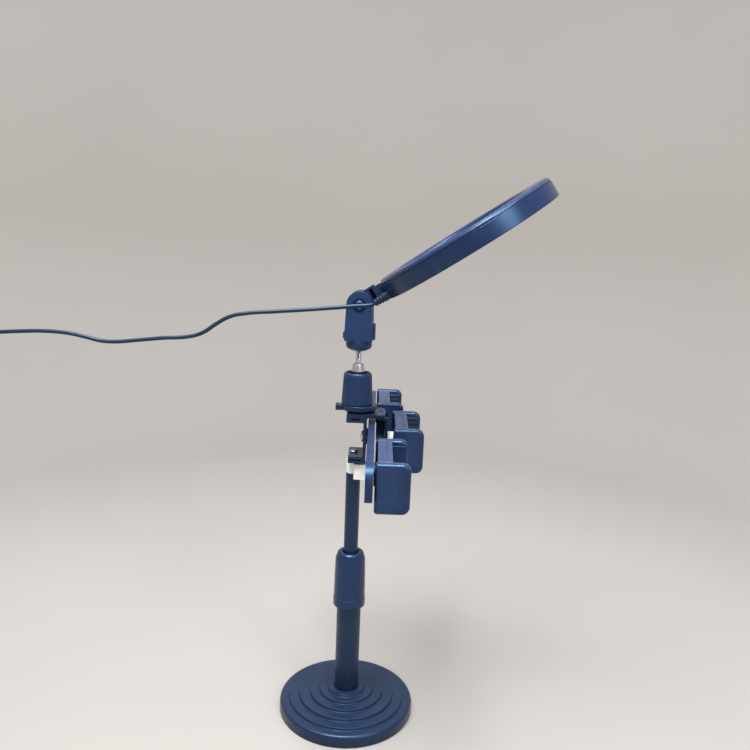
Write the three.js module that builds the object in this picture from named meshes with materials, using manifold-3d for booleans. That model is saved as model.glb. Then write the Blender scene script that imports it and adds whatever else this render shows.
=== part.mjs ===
// An 8-inch ring light on a telescoping desk stand, with a crossbar that carries three spring phone clips.
// Millimetres, +Z up. The origin is the centre of the foot pad's underside, on the pole's axis.
// +X is the side that the phones and the ring lean to, and the crossbar runs along Y.

import * as THREE from 'three';
import { mergeVertices } from 'three/addons/utils/BufferGeometryUtils.js';
import Module from 'manifold-3d';

const wasm = await Module();
wasm.setup();

// Driving dimensions
const GAP = 0.3; // between pieces that touch

const BASE_R = 72.5;
const TREADS = [[20, 25.5], [29, 23.3], [39.5, 20.9], [51, 18.3], [62, 15.6]]; // edge radius, height
const SHOULDER_Z = 13.1;
const FOOT_R = 69.5;
const FOOT_T = 1.8;

const LOWER_TUBE_R = 12.9;
const LOWER_BORE_R = 11.5;
const LOWER_TUBE_Z = [13.4, 150];
const COLLAR_Z = [122, 183];

const UPPER_TUBE_R = 7.5;
const UPPER_BORE_R = 6.5;
const UPPER_TUBE_Z = [66, 270.7];
const MAST_TOP_Z = 285.7;

const BRACKET_HALF_Y = 18;
const BRACKET_Z = [286, 336.9];
const FLANGE_Z = 328.3; // underside of the upper flange
const PLATE_T = 3;
const WEB_X = [9.2, 12.2];
const PLATE_END_X = 31;

const BAR_X = [14, 20.8];
const BAR_Z = [295.4, 327];
const BAR_HALF = 162;
const BAR_BOLT_Z = 310;

const THUMB_X = 26.4;
const HANGER_X = [31.4, 33.6];

const CLIP_Z = 306.8; // middle of the jaws, and the pivot of each clip
const CLIP_HALF = 42;
const JAW_T = 10;
const JAW_DEPTH = 30.4;
const JAW_H = 44.4;
const HOUSING_X = [2.2, 15]; // from the back of the jaws
const HOUSING_Z = [CLIP_Z - 19.4, CLIP_Z + 21.6];
const SIDE_CLIP_X = 22.1;
const MID_CLIP_X = 39.1;
const SIDE_CLIP_Y = 114;
const PIVOT_R = 2;

const HEAD_X = 1.4; // the ball head's axis stands a little forward of the pole's
const HEAD_Z = [337.2, 344.2];
const KNOB_Z = [344.5, 377.2];
const BALL_Z = 361.7;
const BALL_R = 11.5;
const STUD_R = 3.1;
const STUD_TOP = 414.6;
const LOCK_RING_Z = [400, 410];

const CLEVIS_Z = 410.3;
const CLEVIS_TURN = THREE.MathUtils.degToRad(-2.9); // the way the ring light faces at rest
const RING_PIVOT_Z = 446.2;
const CHEEK_R = 12.9;
const CHEEK_RISE = 1; // the cheeks' round tops stand this far above the pivot
const CHEEK_Y = [4.4, 13];

const RING_TILT = THREE.MathUtils.degToRad(34);
const RING_CENTRE = 123; // from the pivot
const RING_R = 95.5;
const RING_HOLE_R = 69;
const RING_HALF_T = 10;
const CABLE_Y = -28;
const CABLE_V = -5.3; // where the cable leaves the rim, from the ring's middle plane
const CABLE_R = 1.95;

// The cable from its strain relief to its plug, held up in the air
const CABLE_ROUTE = [
  [14, -28.7, 449.3], [7.5, -28.2, 447.9], [0, -28, 447.4], [-13.6, -28, 445.8],
  [-46.4, -28, 442.2], [-80.3, -28, 438.9], [-106, -28, 436.4], [-123.9, -28, 432.4], [-137.5, -28, 424.6],
  [-149.5, -28, 416.2], [-161, -28, 411.9], [-191.3, -28, 408.7], [-213.9, -28, 405.9], [-236.4, -28, 403.4],
  [-250.1, -28, 403.8], [-263.7, -28, 406.7], [-281.2, -28, 410], [-303.6, -28, 411.3], [-326.1, -28, 410.4],
  [-368, -28, 407],
];

// Materials
const finish = (color, roughness, metalness = 0) =>
  () => new THREE.MeshStandardMaterial({ color, roughness, metalness });
const BLACK_PAINT = finish(0x16181d, 0.42);
const BLACK_PLASTIC = finish(0x15171c, 0.5);
const GLOSS_PLASTIC = finish(0x14171e, 0.28);
const RUBBER = finish(0x1d1e20, 0.85);
const WHITE_NYLON = finish(0xe9e8e2, 0.45);
const WHITE_DIFFUSER = finish(0xf3f2ee, 0.55);
const CHROME = finish(0xc9c9cc, 0.2, 1);
const STEEL = finish(0x9b9da1, 0.35, 1);
const IRON = finish(0x3c3c3e, 0.7, 0.6);
const BOARD = finish(0xe4e6e0, 0.5);

// Geometry helpers

// A solid of revolution about Z through [radius, height] points; a ring where no point is on the axis.
function turned(points, segments = 24) {
  const loop = points[0][0] === 0 ? points : [...points, points[0]];
  const profile = loop.map(([r, z]) => new THREE.Vector2(r, z));
  if (THREE.ShapeUtils.area(profile) < 0) profile.reverse();
  return new THREE.LatheGeometry(profile, segments).rotateX(Math.PI / 2);
}

// A tube or a washer about Z.
const ring = (inner, outer, z0, z1, segments) =>
  turned([[inner, z0], [outer, z0], [outer, z1], [inner, z1]], segments);

const block = (x, y, z) =>
  new THREE.BoxGeometry(x[1] - x[0], y[1] - y[0], z[1] - z[0])
    .translate((x[0] + x[1]) / 2, (y[0] + y[1]) / 2, (z[0] + z[1]) / 2);

// A round or six-sided bar along an axis through (a, b), the other two coordinates in X, Y, Z order.
function rod(axis, radius, from, to, [a, b] = [0, 0], segments = 16) {
  const g = new THREE.CylinderGeometry(radius, radius, to - from, segments);
  const middle = (from + to) / 2;
  if (axis === 'x') return g.rotateZ(-Math.PI / 2).translate(middle, a, b);
  if (axis === 'y') return g.translate(a, middle, b);
  return g.rotateX(Math.PI / 2).translate(a, b, middle);
}

// A closed outline through [x, y, corner radius] points.
function outline(points) {
  const shape = new THREE.Shape();
  points.forEach(([x, y, radius = 0], i) => {
    const corner = new THREE.Vector2(x, y);
    const before = new THREE.Vector2(...points.at(i - 1));
    const after = new THREE.Vector2(...points[(i + 1) % points.length]);
    const start = corner.clone().add(before.sub(corner).setLength(radius));
    const end = corner.clone().add(after.sub(corner).setLength(radius));
    if (i === 0) shape.moveTo(start.x, start.y);
    else shape.lineTo(start.x, start.y);
    if (radius > 0) shape.quadraticCurveTo(x, y, end.x, end.y);
  });
  shape.closePath();
  return shape;
}

const rectangle = (x, y, radius = 0) =>
  outline([[x[0], y[0], radius], [x[1], y[0], radius], [x[1], y[1], radius], [x[0], y[1], radius]]);

const PLANES = {
  x: [[0, 1, 0], [0, 0, 1], [1, 0, 0]], // outline in (Y, Z)
  y: [[1, 0, 0], [0, 0, 1], [0, -1, 0]], // outline in (X, Z)
  z: [[1, 0, 0], [0, 1, 0], [0, 0, 1]], // outline in (X, Y)
};

// An outline carried along an axis between two places, with its edges broken by a bevel.
function extruded(shape, axis, from, to, { bevel = 0, curve = 3, layers = 1 } = {}) {
  const g = new THREE.ExtrudeGeometry(shape, {
    depth: to - from - 2 * bevel,
    curveSegments: curve,
    bevelEnabled: bevel > 0,
    bevelSize: bevel,
    bevelOffset: -bevel,
    bevelThickness: bevel,
    bevelSegments: layers,
  }).translate(0, 0, axis === 'y' ? bevel - to : bevel + from);
  const basis = PLANES[axis].map((v) => new THREE.Vector3(...v));
  return g.applyMatrix4(new THREE.Matrix4().makeBasis(...basis));
}

function toSolid(geometry) {
  const bare = geometry.index ? geometry.toNonIndexed() : geometry.clone();
  bare.deleteAttribute('normal');
  bare.deleteAttribute('uv');
  const merged = mergeVertices(bare, 1e-3);
  return new wasm.Manifold(new wasm.Mesh({
    numProp: 3,
    vertProperties: merged.attributes.position.array,
    triVerts: new Uint32Array(merged.index.array),
  }));
}

function toGeometry(solid) {
  const { vertProperties, triVerts } = solid.getMesh();
  const g = new THREE.BufferGeometry();
  g.setAttribute('position', new THREE.BufferAttribute(new Float32Array(vertProperties), 3));
  g.setIndex(new THREE.BufferAttribute(new Uint32Array(triVerts), 1));
  g.computeVertexNormals();
  return g;
}

const joined = (...parts) => toGeometry(parts.map(toSolid).reduce((a, b) => a.add(b)));
const cut = (part, ...tools) =>
  toGeometry(tools.map(toSolid).reduce((a, b) => a.subtract(b), toSolid(part)));

const stand = new THREE.Group();

function piece(name, geometry, material, parent = stand) {
  const mesh = new THREE.Mesh(geometry, material());
  mesh.name = name;
  parent.add(mesh);
}

// Base: a stepped cover over an iron weight, bolted to the lower tube from below
function coverProfile() {
  const inner = LOWER_TUBE_R + 0.45;
  const steps = TREADS.flatMap(([r, z], i) => [[r, z], [r + 0.8, (TREADS[i + 1]?.[1] ?? SHOULDER_Z) + 0.1]]);
  return [
    [inner, TREADS[0][1]], ...steps,
    [69, 13], [71.4, 12], [BASE_R, 9.6], [BASE_R, 1.2], [71.9, 0.6],
    [70.6, 0.6], [70.6, 10.9], [61.2, 11.2], [20, 22.4], [inner, 22.4],
  ];
}

function addBase() {
  piece('foot_pad', turned([[0, 0], [FOOT_R, 0], [FOOT_R, FOOT_T], [0, FOOT_T]], 28), RUBBER);
  piece('base_cover', turned(coverProfile(), 28), BLACK_PAINT);
  const weight = [[9.5, 2.1], [67, 2.1], [67, 10.5], [50, 10.5], [50, 13], [4.4, 13], [4.4, 8.6], [9.5, 8.6]];
  piece('counterweight', turned(weight, 24), IRON);
  piece('base_washer', ring(4.4, 8.5, 7.1, 8.3, 16), STEEL);
  piece('base_bolt', joined(rod('z', 7.5, 2.4, 6.8, [0, 0], 6), rod('z', 3.9, 6.7, 26)), STEEL);
}

// Lower tube with its plug, the slotted collet in its top and the twist collar round that
function addLowerMast() {
  const [foot, top] = LOWER_TUBE_Z;
  piece('lower_tube', ring(LOWER_BORE_R, LOWER_TUBE_R, foot, top, 28), BLACK_PAINT);
  piece('tube_plug', ring(4.3, LOWER_BORE_R - 0.35, foot, 27, 20), BLACK_PLASTIC);
  const bore = UPPER_TUBE_R + 0.35;
  const sleeve = LOWER_BORE_R - 0.35;
  const body = turned([
    [bore, 129], [sleeve, 129], [sleeve, top + GAP], [12.9, top + GAP], [12.9, 160], [11.6, 160.5],
    [9.4, 174], [bore, 174],
  ], 16);
  const slots = [0, 1].map((i) => block([-14, 14], [-0.8, 0.8], [161, 175]).rotateZ(i * Math.PI / 2));
  piece('collet', cut(body, ...slots), BLACK_PLASTIC);
  const [low, high] = COLLAR_Z;
  const clear = LOWER_TUBE_R + 0.4;
  piece('twist_collar', turned([
    [clear, low], [16.4, low], [17.1, low + 1.2], [17.1, low + 10], [16.7, low + 11.5],
    [16, high - 8], [15.5, high - 4], [14, high - 1.3], [12.2, high], [9.6, high], [8.4, high - 1.2],
    [8.4, high - 4.5], [10.1, high - 7.5], [clear, 161],
  ], 24), GLOSS_PLASTIC);
}

// Upper tube with a guide on its lower end and a nylon fitting with a lug in its top
function addUpperMast() {
  const [foot, top] = UPPER_TUBE_Z;
  piece('upper_tube', ring(UPPER_BORE_R, UPPER_TUBE_R, foot, top, 24), BLACK_PAINT);
  piece('mast_guide', turned([
    [UPPER_TUBE_R + GAP, foot + 2], [UPPER_TUBE_R + GAP, foot + 14], [11.1, foot + 14], [11.1, foot],
    [5.4, foot - 2], [5.4, foot - GAP], [UPPER_TUBE_R + GAP, foot - GAP],
  ], 16), BLACK_PLASTIC);
  const fitting = turned([
    [2.8, top - 18], [UPPER_BORE_R - GAP, top - 18], [UPPER_BORE_R - GAP, top + GAP],
    [UPPER_TUBE_R, top + GAP], [UPPER_TUBE_R, MAST_TOP_Z], [2.8, MAST_TOP_Z],
  ], 20);
  const lug = extruded(rectangle([0.5, 12.8], [-15, -1], 1.2), 'z', 267.5, 283.5, { bevel: 0.8 });
  const room = rod('z', UPPER_TUBE_R + GAP, 260, top + GAP, [0, 0], 24);
  const bore = rod('z', 2.8, 260, 290);
  piece('mast_top', joined(fitting, cut(lug, room, bore)), WHITE_NYLON);
  piece('swivel_screw', joined(
    turned([[0, 292.8], [4, 292.8], [4, 293.8], [2.8, 295], [0, 295.4]], 16),
    rod('z', 2.3, 258, 293),
  ), CHROME);
}

// C-shaped bracket: slotted flanges below and above, a web, and a plate that reaches forward
function bracketShape() {
  const [low, high] = BRACKET_Z;
  const plate = high - PLATE_T;
  const shape = outline([
    [-5.6, low, 1], [WEB_X[1], low, 2], [WEB_X[1], plate - 2, 1], [WEB_X[1] + 1.8, plate],
    [PLATE_END_X, plate, 1], [PLATE_END_X, high, 1], [-8.2, high, 1], [-8.2, FLANGE_Z, 1],
    [WEB_X[0], FLANGE_Z], [WEB_X[0], 292.5], [-5.6, 292.5, 1],
  ]);
  shape.holes.push(rectangle([-3, 7.5], [288.3, 289.9]), rectangle([-3.7, 6], [331.1, 332.8]));
  return shape;
}

function addBracket() {
  const top = BRACKET_Z[1];
  const plate = top - PLATE_T;
  const body = extruded(bracketShape(), 'y', -BRACKET_HALF_Y, BRACKET_HALF_Y, { curve: 1 });
  const rounding = [-1, 1].map((side) => cut(
    block([23, 32], [side > 0 ? 10 : -19, side > 0 ? 19 : -10], [plate - 1, top + 1]),
    rod('z', 8, plate - 2, top + 2, [PLATE_END_X - 8, side * (BRACKET_HALF_Y - 8)], 20),
  ));
  piece('c_bracket', cut(
    body, ...rounding, rod('z', 2.8, 280, 294), rod('z', 3.4, FLANGE_Z - 2, top + 2, [HEAD_X, 0]),
    rod('z', 2.3, plate - 1, top + 1, [THUMB_X, 0]), rod('x', 3.2, 8, 13, [0, BAR_BOLT_Z]),
  ), BLACK_PAINT);
  piece('head_screw', rod('z', 3, FLANGE_Z - 2, HEAD_Z[1] - 0.5, [HEAD_X, 0]), STEEL);

  const under = plate - GAP;
  piece('thumb_screw', joined(
    rod('z', 4.5, 311.5, under - 3.3, [THUMB_X, 0], 20),
    rod('z', 1.9, under - 4, top - GAP, [THUMB_X, 0], 12),
  ), BLACK_PLASTIC);
  const [back, front] = HANGER_X;
  const leg = extruded(rectangle([21.9, front], [-14, 14], 2), 'z', under - 3, under);
  const drop = extruded(rectangle([-14, 14], [293, under], 3), 'x', back, front);
  piece('mid_hanger', cut(
    joined(leg, drop), rod('z', 2.3, 325, 340, [THUMB_X, 0]), rod('x', 2.4, 30, 35, [0, CLIP_Z]),
  ), BLACK_PAINT);
}

// Crossbar: a moulded channel, open at the back, with ribs and round-cornered ends
function addCrossbar() {
  const [back, front] = BAR_X;
  const [low, high] = BAR_Z;
  const shape = outline([[-BAR_HALF, low, 7], [BAR_HALF, low, 7], [BAR_HALF, high, 17], [-BAR_HALF, high, 17]]);
  const solid = extruded(shape, 'x', back, front, { bevel: 0.8, curve: 5 });
  const bays = [[12, 56], [59, 101], [104, 124], [127, 151]].flatMap(([a, b]) => [[a, b], [-b, -a]]);
  const pockets = bays.map((y) => block([back - 1, front - 2], y, [low + 2.5, high - 2.5]));
  const pivots = [-SIDE_CLIP_Y, SIDE_CLIP_Y].map((y) => rod('x', 2.4, 10, 25, [y, CLIP_Z]));
  piece('crossbar', cut(
    solid, ...pockets, ...pivots,
    rod('x', 3.2, back - 1, front + 1, [0, BAR_BOLT_Z]), rod('x', 6.2, 17.5, front + 1, [0, BAR_BOLT_Z], 20),
  ), BLACK_PLASTIC);
  const washer = ring(3.3, 8.5, WEB_X[1] + GAP, back - GAP, 20).rotateY(Math.PI / 2);
  piece('bar_washer', washer.translate(0, 0, BAR_BOLT_Z), BLACK_PLASTIC);
  const boltHead = turned([[0, 0], [6, 0], [6, 1.2], [4.2, 2.6], [0, 3]], 16).rotateY(-Math.PI / 2);
  piece('bar_bolt', joined(
    boltHead.translate(8.9, 0, BAR_BOLT_Z),
    rod('x', 2.6, 8.8, 20.4, [0, BAR_BOLT_Z]),
  ), CHROME);
  piece('bar_nut', cut(
    rod('x', 5.2, 17.8, 20.5, [0, BAR_BOLT_Z], 6), rod('x', 2.9, 17, 23, [0, BAR_BOLT_Z]),
  ), STEEL);
}

// One spring phone clip. Its own x runs forward from the back of the jaws, and y towards its sliding jaw.
function jawSolid(outerY) {
  const z = [CLIP_Z - JAW_H / 2, CLIP_Z + JAW_H / 2];
  const shape = outline([[0, z[0], 4], [JAW_DEPTH, z[0], 8], [JAW_DEPTH, z[1], 8], [0, z[1], 4]]);
  const [from, to] = outerY < 0 ? [outerY, outerY + JAW_T] : [outerY - JAW_T, outerY];
  return extruded(shape, 'y', from, to, { bevel: 2.6, layers: 2 });
}

function ribbedPad(side) {
  const inner = CLIP_HALF - JAW_T;
  const z0 = CLIP_Z - 17.5;
  const pitch = 4.4;
  const points = [[side * (inner - 0.3), z0]];
  for (let i = 0; i < 8; i++) {
    points.push([side * (inner - 1.5), z0 + i * pitch + 0.6], [side * (inner - 1.5), z0 + i * pitch + 3]);
    points.push([side * (inner - 0.9), z0 + i * pitch + 3.8]);
  }
  points.push([side * (inner - 0.3), z0 + 8 * pitch - 0.4]);
  if (side > 0) points.reverse();
  return extruded(outline(points), 'x', HOUSING_X[1] + 0.6, 27);
}

function springSolid() {
  const coils = 4;
  const outer = [];
  const inner = [];
  for (let i = 0; i <= coils * 2; i++) {
    const along = -29 + (i / (coils * 2)) * 39;
    const swell = (i % 2) * 0.7;
    outer.push([2.7 + swell, along]);
    inner.unshift([1.9 + swell, along]);
  }
  return turned([...outer, ...inner], 6).rotateX(-Math.PI / 2).translate(9.3, 0, CLIP_Z);
}

function addClip(name, rootX, centreY, side, hubRadius, hubBack, hubMaterial, screwHeadX) {
  const clip = new THREE.Group();
  clip.position.set(rootX, centreY, 0);
  clip.scale.y = side;
  stand.add(clip);
  const hubFront = rootX + HOUSING_X[0] - GAP;
  const housing = cut(
    joined(jawSolid(-CLIP_HALF), extruded(rectangle([-34, 31.7], HOUSING_Z, 1.5), 'x', ...HOUSING_X)),
    block([5, 13.6], [-29.5, 33], [CLIP_Z - 14.5, CLIP_Z + 16.5]),
    rod('x', 2.4, 0, 6, [0, CLIP_Z]),
  );
  piece(name + '_housing', housing, BLACK_PLASTIC, clip);
  const tongue = cut(
    block([5.4, 13.2], [-19.5, 34], [CLIP_Z - 14.1, CLIP_Z + 16.1]),
    block([0, 20], [-21, 10.5], [CLIP_Z - 4.2, CLIP_Z + 4.2]),
    rod('x', 4, 0, 9, [0, CLIP_Z]),
  );
  piece(name + '_jaw', joined(jawSolid(CLIP_HALF), tongue), BLACK_PLASTIC, clip);
  piece(name + '_housing_pad', ribbedPad(-1), RUBBER, clip);
  piece(name + '_jaw_pad', ribbedPad(1), RUBBER, clip);
  piece(name + '_spring', springSolid(), STEEL, clip);
  piece(name + '_hub', ring(2.6, hubRadius, 0, hubFront - hubBack, 24)
    .rotateY(Math.PI / 2).translate(hubBack - rootX, 0, CLIP_Z), hubMaterial, clip);
  piece(name + '_pivot_screw', joined(
    turned([[0, 0], [4, 0], [4, 1], [2.6, 2.1], [0, 2.4]], 16)
      .rotateY(-Math.PI / 2).translate(screwHeadX - rootX, 0, CLIP_Z),
    rod('x', PIVOT_R, screwHeadX - rootX - 0.1, 4.8, [0, CLIP_Z], 12),
  ), STEEL, clip);
}

function addClips() {
  const barFront = BAR_X[1] + GAP;
  addClip('near_clip', SIDE_CLIP_X, -SIDE_CLIP_Y, -1, 11, barFront, BLACK_PLASTIC, 18.5);
  addClip('far_clip', SIDE_CLIP_X, SIDE_CLIP_Y, 1, 11, barFront, BLACK_PLASTIC, 18.5);
  addClip('mid_clip', MID_CLIP_X, 0, 1, 9, HANGER_X[1] + GAP, WHITE_NYLON, HANGER_X[0] - GAP);
}

// Ball head: disc with an ear, seat, ball, stud and the knob that locks them
function addBallHead(head) {
  const [low, high] = HEAD_Z;
  const disc = turned([
    [0, low], [15.5, low], [18.2, low + 2.5], [18.2, high - 0.5], [17.6, high], [0, high],
  ], 28).translate(2.6, 0, 0);
  const ear = extruded(rectangle([-21.8, -10], [-5.5, 5.5], 1.5), 'z', low + 0.9, high - 0.8, { bevel: 0.5 });
  const notch = block([-23, -19.8], [-1.5, 1.5], [low, high]);
  piece('head_disc', cut(joined(disc, ear), notch, rod('z', 3.4, low - 1, high + 1)), BLACK_PAINT, head);

  const seatR = BALL_R + GAP;
  const bowl = [50, 30, 10].map((deg) => {
    const a = THREE.MathUtils.degToRad(deg);
    return [seatR * Math.sin(a), BALL_Z - seatR * Math.cos(a)];
  });
  const seatTop = BALL_Z - 5.4;
  piece('ball_seat', turned([
    [0, KNOB_Z[0]], [12.5, KNOB_Z[0]], [12.5, seatTop], [10.4, seatTop], ...bowl, [0, BALL_Z - seatR],
  ], 20), BLACK_PLASTIC, head);
  const ball = new THREE.SphereGeometry(BALL_R, 18, 10).rotateX(Math.PI / 2);
  piece('ball', ball.translate(0, 0, BALL_Z), STEEL, head);
  const neck = BALL_Z + 16;
  piece('ball_stud', turned([
    [0, neck - 4], [5, neck - 4], [5, neck], [7.2, neck + 0.2], [7.2, neck + 1], [5.4, neck + 8.2],
    [4.6, neck + 9], [STUD_R, neck + 9.2], [STUD_R, STUD_TOP - 0.8], [2.4, STUD_TOP], [0, STUD_TOP],
  ], 20), CHROME, head);

  const [foot, top] = KNOB_Z;
  const shell = turned([
    [13, foot], [15.8, foot], [16, foot + 1.2], [14.5, top - 3.4], [13.7, top - 1.1], [12.5, top],
    [11.6, top], [9, BALL_Z + 8.5], [10.3, BALL_Z + 7.5], [13, BALL_Z - 2.5],
  ], 24);
  const grooves = Array.from({ length: 12 }, (_, i) =>
    block([14, 18], [-0.7, 0.7], [foot + 3, top - 5]).rotateZ((i + 0.5) * Math.PI / 6));
  piece('lock_knob', cut(shell, ...grooves), BLACK_PLASTIC, head);

  const [ringLow, ringHigh] = LOCK_RING_Z;
  piece('lock_ring', turned([
    [3.5, ringLow], [7.5, ringLow], [11.8, ringLow + 2.2], [13.2, ringLow + 4],
    [13.2, ringHigh], [3.5, ringHigh],
  ], 28), BLACK_PLASTIC, head);
}

// The clevis on the stud, and the screw and nut that clamp the ring light's lug between its cheeks
function addClevis(turret) {
  const pivot = RING_PIVOT_Z;
  const shape = new THREE.Shape();
  shape.moveTo(-13.9, CLEVIS_Z);
  shape.lineTo(13.9, CLEVIS_Z);
  shape.lineTo(14.2, CLEVIS_Z + 4);
  shape.lineTo(CHEEK_R, pivot + CHEEK_RISE);
  shape.absarc(0, pivot + CHEEK_RISE, CHEEK_R, 0, Math.PI, false);
  shape.lineTo(-14.2, CLEVIS_Z + 4);
  shape.closePath();
  const [inner, outer] = CHEEK_Y;
  const body = joined(
    extruded(shape, 'y', -outer, outer, { bevel: 1, curve: 8 }),
    block([-16.2, 0], [-5, 5], [412, 418.3]),
    block([0, 16.2], [-5, 5], [411.6, 427.5]),
  );
  piece('clevis', cut(
    body,
    block([-20, 20], [-inner, inner], [pivot - 16, pivot + 20]),
    rod('z', 3.5, 400, 418),
    rod('y', 3.1, -20, 20, [0, pivot]),
    rod('y', 6.5, -20, -10.9, [0, pivot], 24),
    rod('y', 6.5, 10.9, 20, [0, pivot], 24),
  ), BLACK_PLASTIC, turret);
  const screwHead = turned([[0, 0], [5.4, 0], [5.4, 1.2], [3.6, 2.2], [0, 2.4]], 20).rotateX(Math.PI / 2);
  piece('ring_pivot_screw', joined(
    screwHead.translate(0, -11.2, pivot), rod('y', 2.7, -11.3, 13, [0, pivot]),
  ), BLACK_PLASTIC, turret);
  piece('ring_pivot_nut', cut(
    rod('y', 5.8, 11.2, 14, [0, pivot], 6), rod('y', 3, 10, 15, [0, pivot]),
  ), STEEL, turret);
}

// Ring light, in a group whose x runs from the pivot through the ring's centre and z out of its back
function addRingLight(turret) {
  const light = new THREE.Group();
  light.position.z = RING_PIVOT_Z;
  light.rotation.y = -RING_TILT;
  turret.add(light);
  const about = (points, segments) => turned(points, segments).translate(RING_CENTRE, 0, 0);
  const [inner, outer, half] = [RING_HOLE_R, RING_R, RING_HALF_T];
  const seam = half - 4.5; // where the frame ends and the back cover starts
  piece('ring_frame', about([
    [outer, -half + 0.6], [outer, seam], [outer - 1.9, seam], [outer - 1.9, 1.8], [inner + 1.9, 1.8],
    [inner + 1.9, seam], [inner, seam], [inner, -half + 0.6], [inner + 0.6, -half], [inner + 3.1, -half],
    [inner + 3.1, -half + 1], [inner + 1.9, -half + 1], [inner + 1.9, 0], [outer - 1.9, 0],
    [outer - 1.9, -half + 1], [outer - 3.1, -half + 1], [outer - 3.1, -half], [outer - 0.6, -half],
  ], 40), GLOSS_PLASTIC, light);
  const back = seam + GAP;
  piece('ring_back', about([
    [outer - 0.7, back], [outer - 0.7, half - 2.6], [outer - 1.9, half - 0.9], [outer - 3.9, half],
    [inner + 3.9, half], [inner + 1.9, half - 0.9], [inner + 0.7, half - 2.6], [inner + 0.7, back],
    [inner + 2.6, back], [inner + 2.6, half - 1.8], [outer - 2.6, half - 1.8], [outer - 2.6, back],
  ], 40), GLOSS_PLASTIC, light);
  piece('ring_diffuser', about([
    [outer - 2.3, -half + 1.3], [outer - 2.3, -half + 3],
    [inner + 2.3, -half + 3], [inner + 2.3, -half + 1.3],
  ], 40), WHITE_DIFFUSER, light);
  piece('led_board', about([
    [outer - 4, -1.7], [outer - 4, -0.3], [inner + 4, -0.3], [inner + 4, -1.7],
  ], 24), BOARD, light);

  const rim = rod('z', outer + GAP, -20, 20, [RING_CENTRE, 0], 64);
  const eye = rod('y', 11.5, -3.6, 3.6, [0, 0], 24);
  const tongue = extruded(outline([[5, -8, 2], [24, -8, 0], [24, half, 0], [5, half, 5]]), 'y', -3.6, 3.6);
  const flange = block([15, 19.4], [-12, 12], [-3, 8.2]);
  const root = extruded(rectangle([18, 34], [-10, 10], 1), 'z', -8, 8.2);
  const bore = rod('y', 3.1, -10, 10, [0, 0]);
  piece('ring_lug', cut(joined(eye, tongue, flange, root), rim, bore), BLACK_PLASTIC, light);

  const relief = turned([
    [0, 15.7], [2.9, 15.7], [2.9, 16.5], [3.7, 16.5], [3.7, 18.3], [2.9, 18.3], [2.9, 19.5], [4, 19.5],
    [4, 21.3], [3.1, 21.3], [3.1, 22.5], [4.2, 22.5], [4.2, 24.3], [3.4, 24.3], [3.4, 25.3], [4.3, 25.3],
    [4.3, 37], [0, 37],
  ], 12).rotateY(Math.PI / 2).translate(0, CABLE_Y, CABLE_V);
  piece('strain_relief', cut(relief, rim), RUBBER, light);
}

// USB cable and plug
function addCable() {
  const points = CABLE_ROUTE.map((p) => new THREE.Vector3(...p));
  const route = new THREE.CatmullRomCurve3(points, false, 'centripetal');
  const section = new THREE.Shape();
  section.absarc(0, 0, CABLE_R, 0, 2 * Math.PI, false);
  piece('usb_cable', new THREE.ExtrudeGeometry(section, {
    steps: 52, curveSegments: 4, bevelEnabled: false, extrudePath: route,
  }), RUBBER);
  const [x, y, z] = CABLE_ROUTE.at(-1);
  const rear = x - GAP;
  const grip = rectangle([rear - 22, rear], [y - 6.2, y + 6.2], 2);
  const moulding = extruded(grip, 'z', z - 4, z + 4, { bevel: 1 });
  const contact = block([rear - 34, rear - 21], [y - 6, y + 6], [z - 2.25, z + 2.25]);
  piece('usb_plug', joined(moulding, contact), BLACK_PLASTIC);
}

const head = new THREE.Group();
head.position.x = HEAD_X;
const turret = new THREE.Group();
turret.rotation.z = CLEVIS_TURN;
stand.add(head);
head.add(turret);

addBase();
addLowerMast();
addUpperMast();
addBracket();
addCrossbar();
addClips();
addBallHead(head);
addClevis(turret);
addRingLight(turret);
addCable();

export default stand;
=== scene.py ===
import math

import bpy
from mathutils import Matrix, Vector


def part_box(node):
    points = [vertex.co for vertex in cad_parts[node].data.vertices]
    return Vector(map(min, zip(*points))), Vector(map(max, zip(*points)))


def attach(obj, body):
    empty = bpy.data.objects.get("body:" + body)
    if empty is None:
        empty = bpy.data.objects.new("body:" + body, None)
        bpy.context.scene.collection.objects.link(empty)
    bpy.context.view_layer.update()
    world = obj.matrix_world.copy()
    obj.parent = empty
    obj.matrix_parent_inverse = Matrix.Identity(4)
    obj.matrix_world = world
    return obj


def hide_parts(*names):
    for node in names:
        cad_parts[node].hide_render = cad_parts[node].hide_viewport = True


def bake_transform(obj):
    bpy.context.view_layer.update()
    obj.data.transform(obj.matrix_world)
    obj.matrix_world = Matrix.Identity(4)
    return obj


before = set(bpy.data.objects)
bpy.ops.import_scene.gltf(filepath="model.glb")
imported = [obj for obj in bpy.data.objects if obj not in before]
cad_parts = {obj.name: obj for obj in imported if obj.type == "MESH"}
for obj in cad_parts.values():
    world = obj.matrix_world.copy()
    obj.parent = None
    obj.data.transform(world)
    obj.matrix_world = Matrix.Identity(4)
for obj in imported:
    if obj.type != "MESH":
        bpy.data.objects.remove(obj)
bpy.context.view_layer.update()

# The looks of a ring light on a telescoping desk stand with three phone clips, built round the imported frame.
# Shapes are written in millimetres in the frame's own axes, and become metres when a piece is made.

MM = 0.001
TURN = 2 * math.pi

# Camera
CAMERA_PLACE = (0.0195, -0.7527, 0.5168)
CAMERA_PITCH = math.radians(10.68)
CAMERA_YAW = math.radians(0.05)
CAMERA_ROLL = math.radians(2.18)
CAMERA_LENS = 36
CAMERA_SENSOR = 36

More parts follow.
